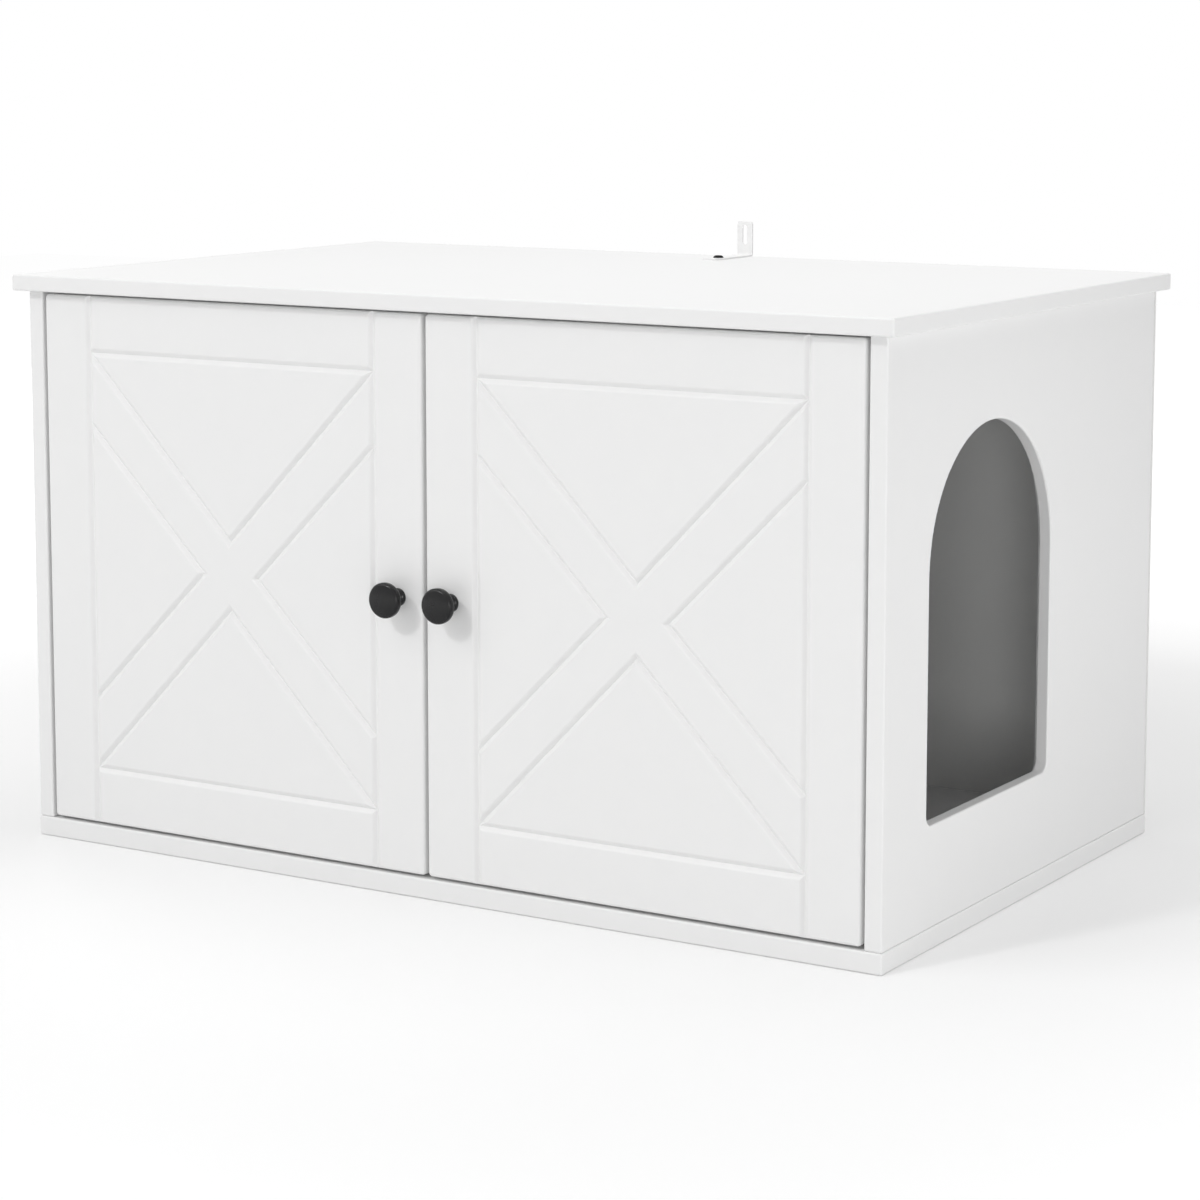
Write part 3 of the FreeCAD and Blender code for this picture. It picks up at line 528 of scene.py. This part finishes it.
cup_screw = pan_screw("cup_screw", head=6.8 * mm, height=1.8 * mm, shank=3.5 * mm,
                      length=11 * mm, pitch=1.3 * mm)
ear_end, ear_step = 6 * mm, 48 * mm
for side in sides:
    low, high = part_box(side + "_hinge_cups")
    heights = [low.z + ear_end, low.z + ear_end + ear_step,
               high.z - ear_end - ear_step, high.z - ear_end]
    fit(side + "_hinge_cup_screws", cup_screw,
        [seated(((low.x + high.x) / 2, high.y, height), (0, 1, 0), cup_twist * number)
         for number, height in enumerate(heights)])

# %% [markdown]
# ## Screws of the knobs, the strikes and the catch
# A machine screw comes through each door from behind into its knob, one sunk screw holds each
# strike plate, and two screws hold the catch up under the top. The knob's screw has a finer
# thread than the wood screws, and its head is a little larger, because it bears on board.

# %% Knob, strike and catch screws
knob_head_height, catch_head, catch_head_height = 2.4 * mm, 6 * mm, 1.6 * mm
knob_screw = pan_screw("knob_screw", head=8 * mm, height=knob_head_height, shank=4 * mm,
                       length=26 * mm, pitch=0.7 * mm)
strike_screw = sunk_screw("strike_screw", head=4.6 * mm, height=1.0 * mm, shank=2.5 * mm,
                          length=9 * mm, pitch=1.0 * mm)
catch_screw = pan_screw("catch_screw", head=catch_head, height=catch_head_height, shank=3 * mm,
                        length=13 * mm, pitch=1.2 * mm)
for side in sides:
    low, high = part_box(side + "_knob_screw")
    place = ((low.x + high.x) / 2, high.y - knob_head_height, (low.z + high.z) / 2)
    fit(side + "_knob_screw", knob_screw, [seated(place, (0, 1, 0), twist=20)])
    low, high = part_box(side + "_strike_screw")
    place = ((low.x + high.x) / 2, high.y, (low.z + high.z) / 2)
    fit(side + "_strike_screw", strike_screw, [seated(place, (0, 1, 0), twist=12)])
low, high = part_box("catch_screws")
fit("catch_screws", catch_screw,
    [seated((x, (low.y + high.y) / 2, low.z + catch_head_height), (0, 0, -1), twist)
     for x, twist in ((low.x + catch_head / 2, -60), (high.x - catch_head / 2, 60))])

# %% [markdown]
# ## The bracket's screw
# This is the one screw that the photograph shows: a low black head on the steel angle. It is
# wider than the others, with hardly any upright edge, and its top falls away to a low dome.

# %% Bracket screw
low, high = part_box("wall_bracket_screw")
head_height = 2.2 * mm
bracket_screw = pan_screw("bracket_screw", head=10.4 * mm, height=head_height, shank=4 * mm,
                          length=14 * mm, pitch=1.5 * mm, crown=(0.41, 0.72), shoulder=0.16)
place = ((low.x + high.x) / 2, (low.y + high.y) / 2, high.z - head_height)
fit("wall_bracket_screw", bracket_screw, [seated(place, (0, 0, 1), twist=25)])

# %% [markdown]
# ## Long screws under the bottom
# Six long screws come up through the bottom board into the sides. Their flat heads lie in
# counterbores, flush with the underside, and take a hexagon key. Their thread is coarse and deep
# to hold in the edge of a board.

# %% Bottom screws
head, shank, length, pitch = 9.6 * mm, 6.4 * mm, 50 * mm, 3 * mm
head_end, shank_start, thread_start, edge = 4 * mm, 4.4 * mm, 12 * mm, 0.5 * mm
opening, key_width, key_depth = 0.36 * head, 4.6 * mm, 3 * mm
outline = [(opening, 0), (head / 2, 0), (head / 2, -head_end), (shank / 2, -shank_start)]
work = turned(outline + thread(shank / 2, thread_start, length, pitch), {1: edge}, screw_steps)
press(work, hexagon, key_width, 0, depth=key_depth, narrowing=1.0)
bottom_screw = as_mesh(work, "bottom_screw")
bottom_twist = 17
low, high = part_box("bottom_screws")
fit("bottom_screws", bottom_screw,
    [seated((x, y, low.z), (0, 0, -1), bottom_twist * number)
     for x in (low.x + head / 2, high.x - head / 2)
     for number, y in enumerate((low.y + head / 2, (low.y + high.y) / 2, high.y - head / 2))])

# %% [markdown]
# ## Cam locks
# Four cams lock the top to the sides. Each is a zinc disc that lies flush in the inner face of a
# side, with a cross to turn it by and a window through which the head of a bolt comes down from
# the top. The window is cut the way a die would leave it: some faces of the disc's own wall are
# extruded and pulled in past the axis.

# %% Cams
disc, thick, edge, cam_steps = 15 * mm, 12 * mm, 0.6 * mm, 36
window_top, window_end, window_pull = 4.2 * mm, 11.7 * mm, 0.62 * disc
opening, recess, window_side = 0.30 * disc, 7 * mm, 0.42 * disc
outline = [(opening, 0), (disc / 2, 0), (disc / 2, -window_top), (disc / 2, -window_end),
           (disc / 2, -thick), (0, -thick)]
work = turned(outline, {1: edge}, cam_steps)
press(work, cross, recess, 0, depth=2.6 * mm, narrowing=0.7)
wall = [face for face in work.faces if face.calc_center_median().x > window_side
        and -window_end < face.calc_center_median().z < -window_top]
pulled = [part for part in bmesh.ops.extrude_face_region(work, geom=wall)["geom"]
          if isinstance(part, bmesh.types.BMVert)]
bmesh.ops.translate(work, vec=(-window_pull, 0, 0), verts=pulled)
cam = as_mesh(work, "cam")
low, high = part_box("cam_discs")
fit("cam_discs", cam,
    [seated((face_x, y, (low.z + high.z) / 2), (facing, 0, 0), twist)
     for face_x, facing, twist in ((high.x - thick, -1, 0), (low.x + thick, 1, 180))
     for y in (low.y + disc / 2, high.y - disc / 2)])

# %% [markdown]
# ## The floor
# The photograph has a clean white ground. The floor is pale and matt, and for the camera it also
# glows a little, just enough to reach white where the light falls freely, and more far away where
# the lamps don't reach. Where the box keeps light off it, less light comes back and a soft shadow
# stays. Mirrors and glass should see the same white, so glossy and transmission rays count too.

# %% Floor and its finish
def seen(recipe):
    """1 for rays that show the ground to the camera, directly or in a reflection."""
    rays = [recipe.node("ShaderNodeLightPath", output=name)
            for name in ("Is Camera Ray", "Is Glossy Ray", "Is Transmission Ray")]
    return rays[0].sum("MINIMUM", rays[0] + rays[1] + rays[2], 1.0)


floor_reach, floor_drop = 6.0, 0.2 * mm
floor_work = bmesh.new()
bmesh.ops.create_grid(floor_work, x_segments=1, y_segments=1, size=floor_reach)
bmesh.ops.translate(floor_work, vec=(0, 0, -floor_drop), verts=floor_work.verts)
floor_mesh = bpy.data.meshes.new("floor")
floor_work.to_mesh(floor_mesh)
floor_work.free()
floor = bpy.data.objects.new("floor", floor_mesh)
bpy.context.collection.objects.link(floor)

ground = bpy.data.materials.new("floor_finish")
ground.use_nodes = True
recipe = Recipe(ground.node_tree)
place = recipe.node("ShaderNodeTexCoord", output="Object")
away = recipe.node("ShaderNodeVectorMath", {"operation": "LENGTH"}, {0: place}, output="Value")
lift = recipe.node("ShaderNodeMapRange", {"interpolation_type": "SMOOTHSTEP"},
                   {"Value": away, "From Min": 0.7, "From Max": 2.2,
                    "To Min": 0.18, "To Max": 0.64})
matt = recipe.node("ShaderNodeBsdfDiffuse", {}, {"Color": (0.80, 0.80, 0.80, 1.0)})
glow = recipe.node("ShaderNodeEmission", {}, {"Strength": lift * seen(recipe)})
both = recipe.node("ShaderNodeAddShader", {}, {0: matt, 1: glow})
recipe.node("ShaderNodeOutputMaterial", {}, {"Surface": both})
floor_mesh.materials.append(ground)
print("floor reaches", floor_reach, "m each way;", len(recipe.tree.nodes), "nodes")

# %% [markdown]
# ## Light
# The photograph is high-key: a bright white room, with light from the left, the front and above.
# A small key light lets the knobs throw short, firm shadows to the lower right. A wide softbox
# farther left shades the routed grooves: dark upper walls, bright lower walls, and hardly a line
# in the grooves that fall to the right, which point at it. One overhead makes the top the
# brightest face, one low beside the camera reaches into the doorway and the gaps round the
# doors, and a weak one beside the right side makes that side fall off towards the back. A rear
# one keeps the back and the left side from going grey when the object is seen from behind. Light
# adds up, so each lamp could be tried alone, and the strengths are those whose sum comes nearest
# to the photograph's levels.

# %% World and softboxes
world = bpy.data.worlds.new("studio")
bpy.context.scene.world = world
world.use_nodes = True
recipe = Recipe(world.node_tree)
room_light = 0.41
white = recipe.node("ShaderNodeBackground", {},
                    {"Color": (1.0, 1.0, 1.0, 1.0),
                     "Strength": room_light + (1 - room_light) * seen(recipe)})
recipe.node("ShaderNodeOutputWorld", {}, {"Surface": white})
print("room light", room_light)


def softbox(name, place, aim, size, watts):
    """A square area light at a place, pointed at another, that the camera doesn't see."""
    lamp = bpy.data.lights.new(name, "AREA")
    lamp.size, lamp.energy = size, watts
    holder = bpy.data.objects.new(name, lamp)
    holder.location = place
    holder.rotation_euler = (Vector(aim) - Vector(place)).to_track_quat("-Z", "Y").to_euler()
    holder.visible_camera = False
    bpy.context.collection.objects.link(holder)
    print(name, "softbox:", size, "m wide,", watts, "W")


middle = (0.0, 0.0, 0.27)
softbox("key", place=(-1.25, -4.1, 3.3), aim=middle, size=0.45, watts=44.0)
softbox("sky", place=(-2.4, -3.4, 3.8), aim=middle, size=4.0, watts=68.0)
softbox("overhead", place=(0.35, 0.25, 2.6), aim=middle, size=1.8, watts=20.5)
softbox("front", place=(2.2, -3.6, 0.5), aim=(0.44, -0.1, 0.25), size=0.9, watts=21.0)
softbox("side", place=(1.7, -0.27, 0.3), aim=(0.44, -0.12, 0.27), size=0.5, watts=4.2)
softbox("rear", place=(-3.8, 2.0, 1.0), aim=middle, size=1.6, watts=34.0)

# %% [markdown]
# ## The camera
# The corner points of the boards in the photograph give the camera: where it stood, how long its
# lens was and how far the picture was shifted to keep the uprights straight. The shift here is a
# part of the photograph's, so that the same camera also frames the object from other sides.

# %% Camera of the photograph
azimuth, pitch = radians(31.6708), radians(7.1803)
eye = bpy.data.cameras.new("photo_camera")
eye.sensor_width, eye.lens, eye.shift_y = 36.0, 96.202, -0.13
camera = bpy.data.objects.new("photo_camera", eye)
camera.location = (1.54984, -2.50009, 0.73877)
camera.rotation_euler = (pi / 2 - pitch, 0.0, azimuth)
bpy.context.collection.objects.link(camera)
bpy.context.scene.camera = camera
bpy.context.scene.view_settings.view_transform = "Standard"
print("camera at", camera.location[:], "with a lens of", eye.lens, "mm")
